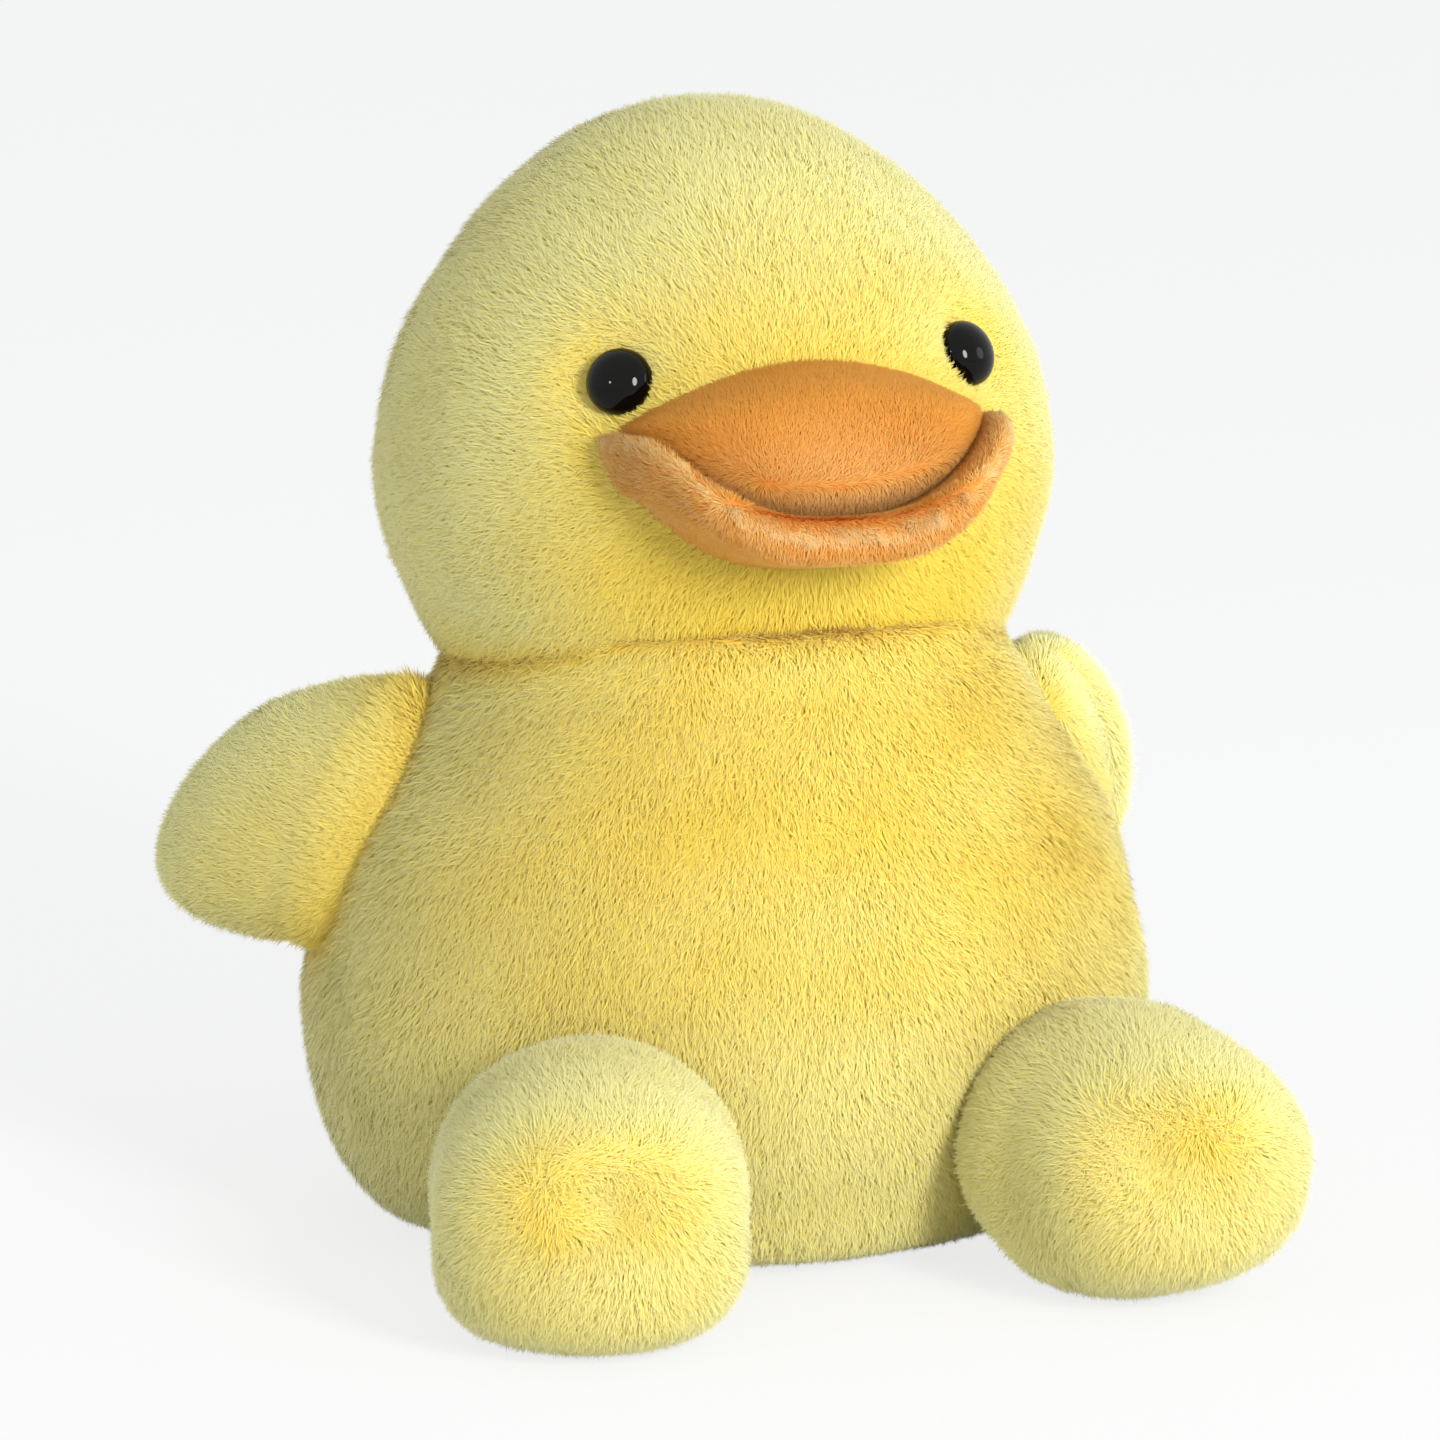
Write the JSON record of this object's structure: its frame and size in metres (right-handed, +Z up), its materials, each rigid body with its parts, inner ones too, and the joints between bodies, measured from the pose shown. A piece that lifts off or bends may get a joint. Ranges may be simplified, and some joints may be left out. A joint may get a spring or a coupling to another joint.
{
  "type": "plush duck",
  "caption": "Seated plush duck: stuffed head, body and wings, weighted base and feet, soft padded bill, domed eyes, head and limbs that flex and spring back.",
  "frame": {"origin": "on the ground, at the middle of the flat seat under the body", "axes": "+Z up, the duck faces -Y, and its own left side is at +X"},
  "size_m": [0.1142, 0.1188, 0.1214],
  "materials": {
    "yellow_plush": "short dense polyester pile, pale yellow tips over golden roots",
    "orange_plush": "short dense orange polyester pile with a tufted seam along the lower bill",
    "fibre": "loose white polyester fibre",
    "pellets": "small plastic pellets in a bag",
    "eye": "black polished plastic dome",
    "washer": "moulded white plastic",
    "thread": "waxed yellow sewing thread"
  },
  "bodies": {
    "body": {"body_cover": "yellow_plush", "body_stuffing": "fibre", "pellet_bag": "pellets", "tail_cover": "yellow_plush", "tail_stuffing": "fibre"},
    "neck": {"neck_thread": "thread"},
    "head": {"head_cover": "yellow_plush", "head_stuffing": "fibre", "upper_bill_cover": "orange_plush", "upper_bill_stuffing": "fibre", "lower_bill_cover": "orange_plush", "lower_bill_padding": "fibre", "right_eye": "eye", "left_eye": "eye", "right_eye_washer": "washer", "left_eye_washer": "washer"},
    "right_wing": {"right_wing_cover": "yellow_plush", "right_wing_stuffing": "fibre"},
    "left_wing": {"left_wing_cover": "yellow_plush", "left_wing_stuffing": "fibre"},
    "right_foot": {"right_foot_cover": "yellow_plush", "right_foot_pellets": "pellets"},
    "left_foot": {"left_foot_cover": "yellow_plush", "left_foot_pellets": "pellets"}
  },
  "joints": [
    {"name": "head_turn", "type": "hinge", "parent": "body", "child": "neck", "pos_m": [0, 0.004, 0.0815], "axis": [0, 0.2079, 0.9781], "range_deg": [-25, 25], "stiffness_Nm_per_rad": 0.12},
    {"name": "head_nod", "type": "hinge", "parent": "neck", "child": "head", "pos_m": [0, 0.004, 0.0815], "axis": [1, 0, 0], "range_deg": [-8, 10], "stiffness_Nm_per_rad": 0.2},
    {"name": "right_wing_swing", "type": "hinge", "parent": "body", "child": "right_wing", "pos_m": [-0.0395, 0.005, 0.0457], "axis": [0.4384, 0, 0.8988], "range_deg": [-6, 35], "stiffness_Nm_per_rad": 0.02},
    {"name": "left_wing_swing", "type": "hinge", "parent": "body", "child": "left_wing", "pos_m": [0.0395, 0.005, 0.0457], "axis": [0.4384, 0, -0.8988], "range_deg": [0, 35], "stiffness_Nm_per_rad": 0.02},
    {"name": "right_foot_swing", "type": "hinge", "parent": "body", "child": "right_foot", "pos_m": [-0.029, -0.0432, 0.01512], "axis": [0.9563, -0.2924, 0], "range_deg": [-20, 12], "stiffness_Nm_per_rad": 0.06},
    {"name": "left_foot_swing", "type": "hinge", "parent": "body", "child": "left_foot", "pos_m": [0.029, -0.0432, 0.01512], "axis": [0.9563, 0.2924, 0], "range_deg": [-20, 12], "stiffness_Nm_per_rad": 0.06}
  ]
}
